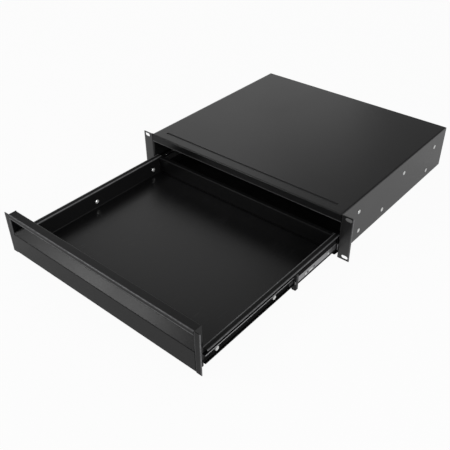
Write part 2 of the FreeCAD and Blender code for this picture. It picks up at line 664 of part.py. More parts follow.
# --- release lever, right hand --------------------------------------------------------------
def release_lever():
    """Moulded lever in the drawer member's channel, turning on its rivet."""
    outer_u = DRAWER_WEB_U - LEVER_OFFSET - LEVER_SIDE_GAP
    u_range = (outer_u, outer_u + LEVER_THICKNESS)
    x_range = (SIDE_IN_X - u_range[1], SIDE_IN_X - u_range[0])
    front_y = LEVER_PIVOT_Y - LEVER_LENGTH
    arm = slot_through(
        Vector((x_range[0] + x_range[1]) / 2, (front_y + LEVER_PIVOT_Y) / 2, SLIDE_Z),
        Y_AXIS, X_AXIS, LEVER_LENGTH, LEVER_WIDTH, LEVER_THICKNESS,
    )
    tab = box(x_range, (front_y, front_y + LEVER_TAB_LENGTH),
              (SLIDE_Z - LEVER_TAB_WIDTH / 2, SLIDE_Z + LEVER_TAB_WIDTH / 2))
    hub = rod(slide_point(u_range[0], LEVER_PIVOT_Y),
              slide_point(DRAWER_WEB_U - LEVER_SIDE_GAP, LEVER_PIVOT_Y), LEVER_HUB_RADIUS)
    bore = rod(slide_point(u_range[0] - 1, LEVER_PIVOT_Y), slide_point(DRAWER_WEB_U, LEVER_PIVOT_Y),
               LEVER_PIN_RADIUS + LEVER_PIN_CLEARANCE)
    return fuse([arm, tab, hub]).cut(bore)


def lever_rivet():
    """Shouldered rivet that carries the lever on the drawer member's web."""
    head_u = DRAWER_WEB_U - LEVER_OFFSET - 2 * LEVER_SIDE_GAP
    shank = rod(slide_point(SLIDE_WIDTH, LEVER_PIVOT_Y), slide_point(head_u, LEVER_PIVOT_Y),
                LEVER_PIN_RADIUS)
    head = rod(slide_point(head_u, LEVER_PIVOT_Y), slide_point(head_u - LEVER_PIN_HEAD, LEVER_PIVOT_Y),
               LEVER_PIN_HEAD_RADIUS)
    return shank.fuse(head).removeSplitter()


# --- drawer -----------------------------------------------------------------------------
def drawer_screw_seats():
    """Centres of the tray's slide screws on the inside of its right wall."""
    return [
        Vector(TRAY_WALL_X - TRAY_SHEET, DRAWER_MEMBER_FRONT_Y + setback - DRAWER_MEMBER_SETBACK, SLIDE_Z)
        for setback in DRAWER_SCREW_SETBACKS
    ]


def drawer_tray():
    """Tray folded from one sheet: floor, two sides and the ledges over the slides."""
    half = TRAY_SHEET / 2
    wall_x = TRAY_WALL_X - half
    ledge_x = TRAY_WALL_X + TRAY_LEDGE
    rim_z = TRAY_RIM_Z - half
    floor_z = TRAY_FLOOR_Z + half
    across = [
        (ledge_x, rim_z), (wall_x, rim_z), (wall_x, floor_z),
        (-wall_x, floor_z), (-wall_x, rim_z), (-ledge_x, rim_z),
    ]
    y_range = (PANEL_BACK_Y + TRAY_SHEET, TRAY_REAR_Y + TRAY_REAR_LEDGE)
    tray = run_along_y(folded_section(across, TRAY_SHEET, TRAY_BEND), y_range)
    cutters = []
    for seat in drawer_screw_seats():
        cutters.append(screw_hole(seat, X_AXIS, 2 * TRAY_SHEET))
        cutters.append(screw_hole(Vector(-seat.x, seat.y, seat.z), X_AXIS, 2 * TRAY_SHEET))
    return tray.cut(cutters)


def tray_front_wall():
    """Tall plate welded across the front of the tray; the front panel screws to it."""
    plate = box((-TRAY_WALL_X, TRAY_WALL_X), (PANEL_BACK_Y, PANEL_BACK_Y + TRAY_SHEET),
                (TRAY_FLOOR_Z, TRAY_FLOOR_Z + TRAY_FRONT_HEIGHT))
    return plate.cut([screw_hole(seat, Y_AXIS, 2 * TRAY_SHEET) for seat in panel_screw_seats()])


def tray_back_wall():
    """Channel welded between the tray's sides, with its flanges to the rear."""
    half = TRAY_SHEET / 2
    end_y = TRAY_REAR_Y + TRAY_REAR_LEDGE
    front_y = TRAY_REAR_Y - half
    top_z = TRAY_RIM_Z - half
    foot_z = TRAY_FLOOR_Z + TRAY_SHEET + half
    along = [(end_y, top_z), (front_y, top_z), (front_y, foot_z), (end_y, foot_z)]
    end_x = TRAY_WALL_X - TRAY_SHEET - TRAY_WALL_GAP
    wall = run_along_x(folded_section(along, TRAY_SHEET, TRAY_BEND), (-end_x, end_x))
    corner = TRAY_BEND
    clear = [
        box(x_range, (front_y - half, end_y), (TRAY_FLOOR_Z, TRAY_FLOOR_Z + TRAY_SHEET + corner))
        for x_range in ((end_x - corner, end_x), (-end_x, corner - end_x))
    ]
    return wall.cut(clear)


def front_panel():
    """Folded finger-pull profile between the two end caps."""
    half = PANEL_SHEET / 2
    front_y = PANEL_FRONT_Y + half
    back_y = PANEL_BACK_Y - half
    top_z = PANEL_TOP_Z - half
    bottom_z = PANEL_BOTTOM_Z + half
    recess_z = PANEL_BOTTOM_Z + RECESS_EDGE
    profile = [
        (front_y, PANEL_TOP_Z - LIP_DOWNTURN),
        (front_y, top_z),
        (back_y, top_z),
        (back_y, recess_z + RECESS_RISE),
        (front_y, recess_z),
        (front_y, bottom_z),
        (back_y, bottom_z),
        (back_y, PANEL_BOTTOM_Z + RETURN_HEIGHT),
    ]
    half_width = END_WALL_X - PANEL_SHEET
    panel = run_along_x(folded_section(profile, PANEL_SHEET, PANEL_BEND), (-half_width, half_width))
    return panel.cut([screw_hole(seat, Y_AXIS, 3 * PANEL_SHEET) for seat in panel_screw_seats()])


def panel_end_cap():
    """Right end wall of the front panel, with its flange folded outwards."""
    half = PANEL_SHEET / 2
    plan = [
        (PANEL_END_X, PANEL_FRONT_Y + half),
        (END_WALL_X - half, PANEL_FRONT_Y + half),
        (END_WALL_X - half, PANEL_BACK_Y),
    ]
    section = folded_section(plan, PANEL_SHEET, PANEL_BEND)
    return run_along_z(section, (PANEL_BOTTOM_Z, PANEL_TOP_Z))


def panel_screw_seats():
    """Centres of the panel screws on the inside of the tray's front wall."""
    first_x = PANEL_SCREW_EDGE - TRAY_WALL_X
    pitch = -2 * first_x / (PANEL_SCREWS - 1)
    return [
        Vector(first_x + pitch * index, PANEL_BACK_Y + TRAY_SHEET, PANEL_BOTTOM_Z + PANEL_SCREW_LIFT)
        for index in range(PANEL_SCREWS)
    ]


def panel_screws():
    grip = TRAY_SHEET + PANEL_SHEET + NUT_HEIGHT + SCREW_POINT
    return [pan_screw(seat, Y_AXIS, grip) for seat in panel_screw_seats()]


def panel_nuts():
    return [
        hex_nut(Vector(seat.x, PANEL_BACK_Y - PANEL_SHEET, seat.z), -Y_AXIS)
        for seat in panel_screw_seats()
    ]


def drawer_screws():
    grip = TRAY_SHEET + SLIDE_SHEET + NUT_HEIGHT + SCREW_POINT
    return [pan_screw(seat, -X_AXIS, grip) for seat in drawer_screw_seats()]


def drawer_nuts():
    return [hex_nut(slide_point(DRAWER_WEB_U, seat.y), X_AXIS) for seat in drawer_screw_seats()]


# --- write the nodes ----------------------------------------------------------------------
def save(name, shapes):
    solids = [solid for shape in shapes for solid in shape.Solids]
    whole = solids[0] if len(solids) == 1 else Part.makeCompound(solids)
    whole.exportStep(os.path.join("parts", name + ".step"))


def main():
    os.makedirs("parts", exist_ok=True)
    save("case_base", [case_base()])
    save("top_cover", [top_cover()])
    save("drawer_tray", [drawer_tray()])
    save("tray_front_wall", [tray_front_wall()])
    save("tray_back_wall", [tray_back_wall()])
    save("front_panel", [front_panel()])
    save("panel_screws", panel_screws())
    save("panel_nuts", panel_nuts())
    handed = {
        "cover_screws": cover_screws(),
        "cover_nuts": cover_nuts(),
        "cabinet_screws": cabinet_screws(),
        "cabinet_member": [cabinet_member()],
        "rear_bumper": [rear_bumper()],
        "middle_member": [middle_member()],
        "middle_stops": middle_stops(),
        "middle_bumper": [middle_bumper()],
        "outer_cage": [outer_cage()],
        "outer_balls": balls(OUTER_ROW, OUTER_ROW_H, OUTER_CAGE_Y, OUTER_CAGE_LENGTH),
        "inner_cage": [inner_cage()],
        "inner_balls": balls(INNER_ROW, INNER_ROW_H, INNER_CAGE_Y, INNER_CAGE_LENGTH),
        "drawer_member": [drawer_member()],
        "drawer_screws": drawer_screws(),
        "drawer_nuts": drawer_nuts(),
        "release_lever": [release_lever()],
        "lever_rivet": [lever_rivet()],
        "panel_end_cap": [panel_end_cap()],
    }
    for name, shapes in handed.items():
        save("right_" + name, shapes)
        save("left_" + name, [mirrored(shape) for shape in shapes])


main()
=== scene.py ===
import math

import bmesh
import bpy
from bpy.props import FloatProperty, FloatVectorProperty, PointerProperty
from bpy.types import Operator, Panel, PropertyGroup
from mathutils import Matrix, Vector


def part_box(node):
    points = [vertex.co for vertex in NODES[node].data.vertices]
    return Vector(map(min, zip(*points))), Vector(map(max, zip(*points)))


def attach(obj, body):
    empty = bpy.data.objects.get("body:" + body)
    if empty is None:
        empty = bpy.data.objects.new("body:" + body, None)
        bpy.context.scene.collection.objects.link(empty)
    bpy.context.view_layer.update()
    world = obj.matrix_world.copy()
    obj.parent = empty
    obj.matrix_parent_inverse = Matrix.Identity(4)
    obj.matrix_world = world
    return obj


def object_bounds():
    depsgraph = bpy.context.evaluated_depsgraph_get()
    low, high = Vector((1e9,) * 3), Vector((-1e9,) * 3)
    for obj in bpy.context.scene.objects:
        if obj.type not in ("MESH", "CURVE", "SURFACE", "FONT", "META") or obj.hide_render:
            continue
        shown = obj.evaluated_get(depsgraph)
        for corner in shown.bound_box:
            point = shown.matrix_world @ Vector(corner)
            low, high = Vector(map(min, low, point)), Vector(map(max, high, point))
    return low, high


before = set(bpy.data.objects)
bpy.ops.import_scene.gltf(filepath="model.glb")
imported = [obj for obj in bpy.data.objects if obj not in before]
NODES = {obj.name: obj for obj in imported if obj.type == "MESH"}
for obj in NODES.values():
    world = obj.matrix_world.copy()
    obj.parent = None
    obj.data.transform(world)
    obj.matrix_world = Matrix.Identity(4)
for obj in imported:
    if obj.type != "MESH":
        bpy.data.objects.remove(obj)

bl_info = {
    "name": "Sliding Rack Drawer Finishes",
    "version": (1, 0, 0),
    "blender": (4, 5, 0),
    "location": "3D View > Sidebar > Rack Drawer",
    "description": "Finishes, small hardware and studio for a two-unit sliding rack drawer",
    "category": "Object",
}

CAD_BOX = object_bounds()
SIDES = ("left", "right")

# Places taken from the frame, in metres: the lowest and highest corners of nodes.
CASE_LOW, CASE_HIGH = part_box("case_base")
COVER_LOW, COVER_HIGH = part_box("top_cover")
PANEL_LOW, PANEL_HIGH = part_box("front_panel")
CAP_LOW, CAP_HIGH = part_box("right_panel_end_cap")
_, TRAY_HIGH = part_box("drawer_tray")
FRONT_WALL_LOW, FRONT_WALL_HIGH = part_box("tray_front_wall")
BACK_WALL_LOW, BACK_WALL_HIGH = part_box("tray_back_wall")
MEMBER_LOW, MEMBER_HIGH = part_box("right_drawer_member")
BUMPER_LOW, BUMPER_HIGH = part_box("right_middle_bumper")
LEVER_LOW, LEVER_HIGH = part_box("right_release_lever")
SLIDE_Z = (MEMBER_LOW.z + MEMBER_HIGH.z) / 2

# Marks on the sheets and slides, in metres.
COVER_FLANGE = 0.0155  # from the cover's top down to the line along its front flange that is painted pale: rubbed coat and painted highlight
LIP_DEPTH = 0.0081  # depth of the downturn along the panel's top
WEAR_HIGHLIGHT_REACH = 0.0016  # how far the pale edge mark (rubbed coat and painted highlight) spreads from an edge
LEDGE_MARGIN = 0.0008  # strip along both sides of the tray's ledges that is neither darkened as painted shade nor made matt
WEB_LOW, WEB_HIGH = SLIDE_Z - 0.0038, SLIDE_Z + 0.0072  # band along the zinc members left out of the painted shade on their shoulders
SHADE_WAVE, SHADE_EDGE = 0.0008, 0.0009  # how wavy and how soft the border of the painted shade is
TIP_WIDTH = 0.0007  # painted highlight along the tip of the drawer member's upper flange
TIP_EDGE, TIP_FADE = 0.0005, 0.001  # how soft its border is, and how it ends below
MARK_DEPTH, CAGE_MARK_DEPTH = 0.000008, 0.000006
TEXTURE_DEPTH, PORE_DEPTH = 0.00002, 0.00003  # of the plastic and the rubber

# Folds and cut edges painted pale and metallic, as rubbed coat and painted highlight: where two of
# x (both sides), y and z have a value.
CASE_EDGES = (
    {"x": COVER_HIGH.x, "y": CASE_LOW.y},
    {"x": CASE_HIGH.x, "y": CASE_LOW.y},
)
COVER_EDGES = ({"y": COVER_LOW.y, "z": COVER_HIGH.z - COVER_FLANGE},)
PANEL_EDGES = (
    {"y": PANEL_LOW.y, "z": PANEL_HIGH.z},
    {"y": PANEL_LOW.y, "z": PANEL_HIGH.z - LIP_DEPTH},
    {"y": PANEL_LOW.y, "z": PANEL_LOW.z},
)
CAP_EDGES = (
    {"x": CAP_HIGH.x, "y": CAP_LOW.y},
    {"x": CAP_LOW.x, "y": CAP_LOW.y},
)
TRAY_EDGES = (
    {"x": MEMBER_LOW.x, "z": TRAY_HIGH.z},
    {"x": TRAY_HIGH.x, "z": TRAY_HIGH.z},
    {"y": FRONT_WALL_LOW.y, "z": FRONT_WALL_HIGH.z},
)

# Sizes of the patches and marks in each finish, in metres; a stretch is along the drawer.
COAT_CLOUD, TRAY_CLOUD, WEAR_HIGHLIGHT_PATCH, SPECK_SPACING = 0.09, 0.12, 0.006, 0.0021
SCUFF_WIDTH, SCUFF_STRETCH = 0.0012, 26.0
ZINC_MARK, ZINC_CLOUD, ZINC_SPANGLE = 0.0004, 0.018, 0.0035
BLACK_MARK, BLACK_MARK_STRETCH, BLACK_CLOUD = 0.0005, 60.0, 0.02
CAGE_MARK, CAGE_MARK_STRETCH, GREASE_PATCH = 0.0006, 20.0, 0.006
BALL_SMEAR = 0.0012
SCREW_STAIN, SCREW_MARK = 0.0022, 0.0003
PLASTIC_TEXTURE, PLASTIC_SHINE = 0.0003, 0.004
RUBBER_BLOOM, RUBBER_PORE = 0.004, 0.0004

# Tints of what lies on a finish or shows through it, and of painted shade and highlight.
DUST = (0.32, 0.31, 0.3, 1.0)
RUBBED_AND_LIT = (0.42, 0.42, 0.43, 1.0)  # pale coat rubbed thin over the steel, also the painted highlight on folds and edges
SCUFFED = (0.12, 0.12, 0.12, 1.0)
# Painted shade on the tops of the tray's ledges over the slides.
PAINTED_LEDGE_SHADE = (0.001, 0.001, 0.001, 1.0)
# Painted shade on the shoulders of the zinc slide members.
SHOULDER_SHADE = (0.004, 0.0037, 0.0034, 1.0)
CAGE_GREASE = (0.3, 0.25, 0.17, 1.0)
BALL_GREASE = (0.42, 0.37, 0.28, 1.0)
BLOOM = (0.07, 0.07, 0.07, 1.0)
WHITE = (1.0, 1.0, 1.0, 1.0)

# The coat's refraction, and shares of its settings.
COAT_IOR = 1.52
GRAIN_PER_RIPPLE = 5  # grains across one ripple
GRAIN_SHARE = 1 / 6  # depth of the grain against the ripples
MEMBER_GLOSS = 0.8  # gloss of the black members against the coat's
BACK_WALL_SHADE_GLOSS = 0.3  # gloss of the tray's back wall against the coat's, lowered as painted shade

# Small pieces, in metres.
OVERLAP = 0.0001  # how far a piece sinks into what carries it
EDGE_BEVEL = 0.0001
RIB_COUNT, RIB_PITCH, RIB_MARGIN = 5, 0.0021, 0.0015
RIB_RISE, RIB_FOOT, RIB_FLANK, RIB_HALF_LENGTH = 0.0003, 0.0011, 0.0003, 0.0024
CLIP_SHEET, CLIP_HALF_WIDTH, CLIP_HALF_HEIGHT, CLIP_MARGIN = 0.0004, 0.0021, 0.0032, 0.0005
CLIP_OUTLINE = (  # clipped corners, in shares of the half width and half height
    (-1, -0.7), (-0.6, -1), (0.6, -1), (1, -0.7), (1, 0.7), (0.6, 1), (-0.6, 1), (-1, 0.7),
)
CLIP_LEVELS = (  # share of the outline, and height over the bumper
    (1.0, -OVERLAP), (1.0, CLIP_SHEET), (0.62, CLIP_SHEET), (0.5, 2 * CLIP_SHEET),
)
WELD_RADIUS, WELD_RIPPLE, WELD_RIPPLE_DEPTH = 0.0014, 0.0016, 0.12
WELD_STEPS, WELD_SIDES = 40, 12
WELD_TAPER, WELD_END = 6, 0.02  # how late a bead narrows, and its least width there, squared
FLOOR_WELDS, FLOOR_WELD_LENGTH = (-0.15, -0.05, 0.05, 0.15), 0.016
FRONT_CORNER_WELD = (0.009, 0.023)  # from and to, above the tray's floor
BACK_CORNER_WELD = (0.008, 0.02)

# Studio, in metres and degrees.
FLOOR_REACH = 12.0
CASE_MIDDLE = (0.0, -0.05, 0.0)
PANEL_MIDDLE = (0.0, -0.34, 0.0)
LAMPS = (  # name, place, what it faces, width and height; its power is the setting NAME_power
    ("key", (-0.96, -1.19, 0.93), PANEL_MIDDLE, (0.5, 0.4)),
    ("overhead", (-1.3, 1.0, 1.35), CASE_MIDDLE, (1.2, 0.9)),
    ("back", (-1.8, 1.9, 1.0), CASE_MIDDLE, (2.0, 1.0)),
    ("side", (1.9, -0.3, 0.5), CASE_MIDDLE, (1.2, 0.8)),
)
CAMERA_PLACE = (0.614351, -0.751873, 0.632859)
CAMERA_TURNS = ((40.7, "Z"), (53.77, "X"), (-0.79, "Z"))  # aside, up from straight down, roll
CAMERA_SHIFT = (-0.0001, -0.0007)
SENSOR_WIDTH = 36.0  # millimetres


# --- settings -----------------------------------------------------------------------------
class CoatSettings(PropertyGroup):
    """Powder coat on the folded sheets."""

    colour: FloatVectorProperty(
        name="Coat colour", description="Colour of the powder coat", subtype="COLOR",
        size=3, min=0.0, max=1.0, default=(0.0075, 0.0075, 0.0078),
    )
    roughness: FloatProperty(
        name="Coat roughness", description="Roughness of the coat's surface", subtype="FACTOR",
        min=0.05, max=1.0, default=0.29,
    )
    gloss: FloatProperty(
        name="Coat gloss", description="Strength of the coat's reflections", subtype="FACTOR",
        min=0.0, max=1.0, default=0.3,
    )
    base_gloss: FloatProperty(
        name="Base gloss", description="Strength of the reflections on the case's base",
        subtype="FACTOR", min=0.0, max=1.0, default=1.0,
    )
    panel_gloss: FloatProperty(
        name="Panel gloss", description="Strength of the reflections on the front panel",
        subtype="FACTOR", min=0.0, max=1.0, default=0.2,
    )
    # Edges painted pale and metallic: rubbed coat and painted highlight.
    wear_and_highlight: FloatProperty(
        name="Edge wear", description="How pale the folds and cut edges have rubbed",
        subtype="FACTOR", min=0.0, max=1.0, default=0.5,
    )
    ripple_size: FloatProperty(
        name="Ripple size", description="Width of the coat's orange-peel ripples",
        subtype="DISTANCE", unit="LENGTH", min=0.0002, max=0.01, default=0.0011,
    )
    ripple_depth: FloatProperty(
        name="Ripple depth", description="Height of the orange-peel ripples",
        subtype="DISTANCE", unit="LENGTH", min=0.0, max=0.0005, default=0.000012,
    )
    dust: FloatProperty(
        name="Dust", description="Fine dust that lies on upward faces", subtype="FACTOR",
        min=0.0, max=1.0, default=0.2,
    )


class MetalSettings(PropertyGroup):
    """Bare and plated metal of the slides and fasteners."""

    slide_colour: FloatVectorProperty(
        name="Slide zinc", description="Colour of the zinc plate on the slides", subtype="COLOR",
        size=3, min=0.0, max=1.0, default=(0.5, 0.5, 0.51),
    )
    slide_roughness: FloatProperty(
        name="Slide roughness", description="Roughness of the rolled slide sections",
        subtype="FACTOR", min=0.05, max=1.0, default=0.38,
    )
    screw_colour: FloatVectorProperty(
        name="Screw zinc", description="Colour of the bright zinc on screws and nuts",
        subtype="COLOR", size=3, min=0.0, max=1.0, default=(0.93, 0.94, 0.93),
    )
    ball_colour: FloatVectorProperty(
        name="Ball steel", description="Colour of the polished balls", subtype="COLOR",
        size=3, min=0.0, max=1.0, default=(0.72, 0.73, 0.74),
    )
    # Painted shade on the races and shoulders of the zinc members, named as grease.
    grease_and_shade: FloatProperty(
        name="Race grease", description="Dark grease on the races and shoulders of the slides",
        subtype="FACTOR", min=0.0, max=1.0, default=0.95,
    )
    grain_length: FloatProperty(
        name="Rolling mark length", description="Length of the rolling marks along the slides",
        subtype="DISTANCE", unit="LENGTH", min=0.002, max=0.2, default=0.04,
    )


class MouldingSettings(PropertyGroup):
    """Moulded plastic and rubber."""

    plastic_colour: FloatVectorProperty(
        name="Plastic", description="Colour of the bumpers and levers", subtype="COLOR",
        size=3, min=0.0, max=1.0, default=(0.016, 0.016, 0.017),
    )
    rubber_colour: FloatVectorProperty(
        name="Rubber", description="Colour of the rear stops", subtype="COLOR",
        size=3, min=0.0, max=1.0, default=(0.02, 0.02, 0.02),
    )


class StudioSettings(PropertyGroup):
    """Floor, surroundings, lamps and camera."""

    floor_colour: FloatVectorProperty(
        name="Floor", description="Colour of the floor", subtype="COLOR",
        size=3, min=0.0, max=1.0, default=(0.8, 0.8, 0.8),
    )
    floor_drop: FloatProperty(
        name="Floor drop", description="Height of the case above the floor",
        subtype="DISTANCE", unit="LENGTH", min=0.0, max=1.0, default=0.0,
    )
    glow: FloatProperty(
        name="Floor glow", description="How bright the floor looks by itself", subtype="FACTOR",
        min=0.0, max=1.0, default=0.95,
    )
    mirrored: FloatProperty(
        name="Floor in gloss", description="Share of the floor's glow that reflections show",
        subtype="FACTOR", min=0.0, max=1.0, default=0.3,
    )
    sky: FloatProperty(
        name="Surroundings", description="Brightness of the surroundings as a light",
        min=0.0, max=3.0, default=0.32,
    )
    key_power: FloatProperty(
        name="Key lamp", description="Power of the soft box above the left of the front",
        subtype="POWER", unit="POWER", min=0.0, max=500.0, default=6.2,
    )
    back_power: FloatProperty(
        name="Back lamp", description="Power of the low soft box behind the left of the case",
        subtype="POWER", unit="POWER", min=0.0, max=500.0, default=4.0,
    )
    overhead_power: FloatProperty(
        name="Overhead lamp", description="Power of the high soft box behind the left of the case",
        subtype="POWER", unit="POWER", min=0.0, max=500.0, default=1.5,
    )
    side_power: FloatProperty(
        name="Side lamp", description="Power of the soft box on the right", subtype="POWER",
        unit="POWER", min=0.0, max=500.0, default=18.0,
    )
    lens: FloatProperty(
        name="Lens", description="Focal length on a 36 mm sensor", subtype="DISTANCE_CAMERA",
        min=10.0, max=200.0, default=50.175,
    )


SETTINGS = {
    "drawer_coat": CoatSettings,
    "drawer_metal": MetalSettings,
    "drawer_mouldings": MouldingSettings,
    "drawer_studio": StudioSettings,
}


# --- shader construction --------------------------------------------------------------------
def feed(tree, socket, value):
    """Links a socket to a value or another socket, or sets it to a constant."""
    if isinstance(value, Value):
        value = value.socket
    if isinstance(value, bpy.types.NodeSocket):
        tree.links.new(value, socket)
    else:
        socket.default_value = value


def add_node(tree, kind, settings=None, inputs=None):
    """Adds a node to a shader tree: its settings come first, then what its sockets take."""
    made = tree.nodes.new(kind)
    for name, value in (settings or {}).items():
        setattr(made, name, value)
    for name, value in (inputs or {}).items():
        feed(tree, made.inputs[name], value)
    return made


class Value:
    """A number that varies over the surface: arithmetic on it adds Math nodes."""

    def __init__(self, finish, socket):
        self.finish = finish
        self.socket = socket

    def _math(self, operation, *inputs, clamp=False):
        settings = {"operation": operation, "use_clamp": clamp}
        node = self.finish.node("ShaderNodeMath", settings, dict(enumerate(inputs)))
        return Value(self.finish, node.outputs[0])

    def __add__(self, other):
        return self._math("ADD", self, other)

    __radd__ = __add__

    def __sub__(self, other):
        return self._math("SUBTRACT", self, other)

    def __rsub__(self, other):
        return self._math("SUBTRACT", other, self)

    def __mul__(self, other):
        return self._math("MULTIPLY", self, other)

    __rmul__ = __mul__

    def __abs__(self):
        return self._math("ABSOLUTE", self)

    def above(self, edge, softness):
        """0 below edge, 1 above it, with a soft step."""
        settings = {"interpolation_type": "SMOOTHSTEP"}
        low, high = edge - softness / 2, edge + softness / 2
        node = self.finish.node("ShaderNodeMapRange", settings, {0: self, 1: low, 2: high})
        return Value(self.finish, node.outputs[0])

    def below(self, edge, softness):
        return 1 - self.above(edge, softness)

    def limited(self):
        return self._math("ADD", self, 0.0, clamp=True)


class Finish:
    """One procedural material under construction."""

    def __init__(self, name):
        self.material = bpy.data.materials.new(name)
        self.material.use_nodes = True
        self.tree = self.material.node_tree
        self.tree.nodes.clear()
        self.shader = self.node("ShaderNodeBsdfPrincipled")
        self.output = self.node("ShaderNodeOutputMaterial", inputs={0: self.shader.outputs[0]})
        coordinates = self.node("ShaderNodeTexCoord")
        self.place = coordinates.outputs["Object"]
        split = self.node("ShaderNodeSeparateXYZ", inputs={0: self.place})
        self.x, self.y, self.z = (Value(self, socket) for socket in split.outputs)
        geometry = self.node("ShaderNodeNewGeometry")
        facing = self.node("ShaderNodeSeparateXYZ", inputs={0: geometry.outputs["True Normal"]})
        self.facing_z = Value(self, facing.outputs["Z"])

    def node(self, kind, settings=None, inputs=None):
        return add_node(self.tree, kind, settings, inputs)

    def set(self, **sockets):
        """Sets the shader's sockets: Base_Color stands for "Base Color"."""
        for name, value in sockets.items():
            feed(self.tree, self.shader.inputs[name.replace("_", " ")], value)

    def noise(self, size, detail=2.0, stretch=(1.0, 1.0, 1.0), rough=0.5):
        """Noise with features of about the given size, in metres, stretched along an axis."""
        scale = tuple(1.0 / (size * factor) for factor in stretch)
        mapped = self.node("ShaderNodeMapping", inputs={"Vector": self.place, "Scale": scale})
        noise = self.node(
            "ShaderNodeTexNoise", {"noise_dimensions": "3D"},
            {"Vector": mapped.outputs[0], "Scale": 1.0, "Detail": detail, "Roughness": rough},
        )
        return Value(self, noise.outputs[0])

    def speckle(self, size, spread):
        """Small round specks, 1 in their middle."""
        cells = self.node(
            "ShaderNodeTexVoronoi", inputs={"Vector": self.place, "Scale": 1.0 / size},
        )
        return Value(self, cells.outputs["Distance"]).below(spread, spread)

    def edge_wear_and_highlight(self, edges):
        """1 on the given edges, broken up along their length: rubbed coat and painted highlight.
        """
        rub = self.noise(WEAR_HIGHLIGHT_PATCH, detail=3.0, rough=0.65)
        places = {"x": abs(self.x), "y": self.y, "z": self.z}
        away = (sum(abs(places[axis] - place) for axis, place in edge.items()) for edge in edges)
        worn_and_lit = sum(distance.below(WEAR_HIGHLIGHT_REACH, WEAR_HIGHLIGHT_REACH) for distance in away)
        return ((rub * 1.3 + 0.1) * worn_and_lit).limited()

    def upward(self):
        """1 on faces that look up, 0 on upright ones."""
        return self.facing_z.above(0.7, 0.4)

    def mix_colour(self, factor, first, second):
        """The first colour where the factor is 0, and the second where it is 1."""
        mix = self.node(
            "ShaderNodeMix", {"data_type": "RGBA"}, {0: factor, 6: first, 7: second},
        )
        return mix.outputs[2]

    def bump(self, height, distance, below=None):
        """Normal of a relief that is distance metres deep, over another relief's normal."""
        inputs = {"Height": height, "Distance": distance, "Strength": 1.0}
        if below is not None:
            inputs["Normal"] = below
        return self.node("ShaderNodeBump", inputs=inputs).outputs[0]

    def orange_peel(self, coat, grain):
        """Normal of sprayed powder: broad ripples with a fine grain on them."""
        ripple = self.noise(coat.ripple_size, detail=1.0)
        bump = self.bump(ripple, coat.ripple_depth)
        return self.bump(grain, coat.ripple_depth * GRAIN_SHARE, below=bump)


def shade(colour, factor=1.0):
    """A colour setting, lighter or darker by a factor, for a colour socket."""
    return tuple(min(1.0, part * factor) for part in colour) + (1.0,)


def give(material, names):
    """Puts a finish on CAD nodes."""
    for name in names:
        for slot in NODES[name].material_slots:
            slot.link = "OBJECT"
            slot.material = material


def both(*names):
    """The left and right nodes with these names."""
    return [f"{side}_{name}" for side in SIDES for name in names]


def settings(context, name):
    """One group of the add-on's settings."""
    return getattr(context.scene, name)


# --- finishes -------------------------------------------------------------------------------
def powder_coat(coat, name, gloss, edges):
    """Semi-gloss black powder coat: orange peel, fine grain, settled dust, and edges painted pale
    as rubbed coat and painted highlight.
    """
    finish = Finish(name)
    grain = finish.noise(coat.ripple_size / GRAIN_PER_RIPPLE, detail=2.0)
    cloud = finish.noise(COAT_CLOUD, detail=3.0, rough=0.6)
    specks = finish.speckle(SPECK_SPACING, 0.16)
    upward = finish.upward()
    settled = upward * specks * cloud.above(0.5, 0.3) * coat.dust
    film = upward * cloud * coat.dust
    # Folds and edges painted pale and metallic: rubbed coat and painted highlight.
    worn_and_lit = finish.edge_wear_and_highlight(edges) * coat.wear_and_highlight
    tone = finish.mix_colour(
        cloud.above(0.5, 0.6), shade(coat.colour, 0.9), shade(coat.colour, 1.12)
    )
    tone = finish.mix_colour((settled * 0.25 + film * 0.03).limited(), tone, DUST)
    tone = finish.mix_colour(worn_and_lit, tone, RUBBED_AND_LIT)
    finish.set(
        Base_Color=tone,
        Metallic=worn_and_lit * 0.6,
        Roughness=(
            cloud * 0.07 + grain * 0.05 + film * 0.12 + worn_and_lit * 0.15 + (coat.roughness - 0.06)
        ).limited(),
        Normal=finish.orange_peel(coat, grain),
        IOR=COAT_IOR,
        Specular_IOR_Level=gloss,
    )
    return finish.material


def tray_coat(coat, name, gloss):
    """The same coat inside the drawer: rub marks on the floor, and ledges over the slides darkened
    as painted shade and made matt.
    """
    finish = Finish(name)
    grain = finish.noise(coat.ripple_size / GRAIN_PER_RIPPLE, detail=2.0)
    cloud = finish.noise(TRAY_CLOUD, detail=3.0, rough=0.6)
    rub = finish.noise(SCUFF_WIDTH, detail=2.0, stretch=(1.0, SCUFF_STRETCH, 1.0))
    rubbed = rub.above(0.62, 0.1) * cloud.above(0.55, 0.2) * finish.facing_z.above(0.9, 0.1)
    # The rims and the front wall's top get the same pale edges: rubbed coat and painted highlight.
    worn_and_lit = finish.edge_wear_and_highlight(TRAY_EDGES) * coat.wear_and_highlight
    # Painted shade: the tops of the ledges over the slides are darkened and made matt.
    across = abs(finish.x)
    past_wall = across.above(MEMBER_LOW.x + LEDGE_MARGIN, LEDGE_MARGIN)
    short_of_edge = across.below(TRAY_HIGH.x - LEDGE_MARGIN, LEDGE_MARGIN)
    matt_shaded_ledge = past_wall * short_of_edge * finish.upward()
    tone = finish.mix_colour(rubbed * 0.12, shade(coat.colour), SCUFFED)
    tone = finish.mix_colour(matt_shaded_ledge * 0.8, tone, PAINTED_LEDGE_SHADE)
    tone = finish.mix_colour(worn_and_lit, tone, RUBBED_AND_LIT)
    finish.set(
        Base_Color=tone,
        Metallic=worn_and_lit * 0.6,
        Roughness=(
            cloud * 0.06 + grain * 0.05 + rubbed * 0.05 + matt_shaded_ledge * 0.5 + worn_and_lit * 0.1
            + (coat.roughness - 0.05)
        ).limited(),
        Normal=finish.orange_peel(coat, grain),
        IOR=COAT_IOR,
        Specular_IOR_Level=gloss,
    )
    return finish.material


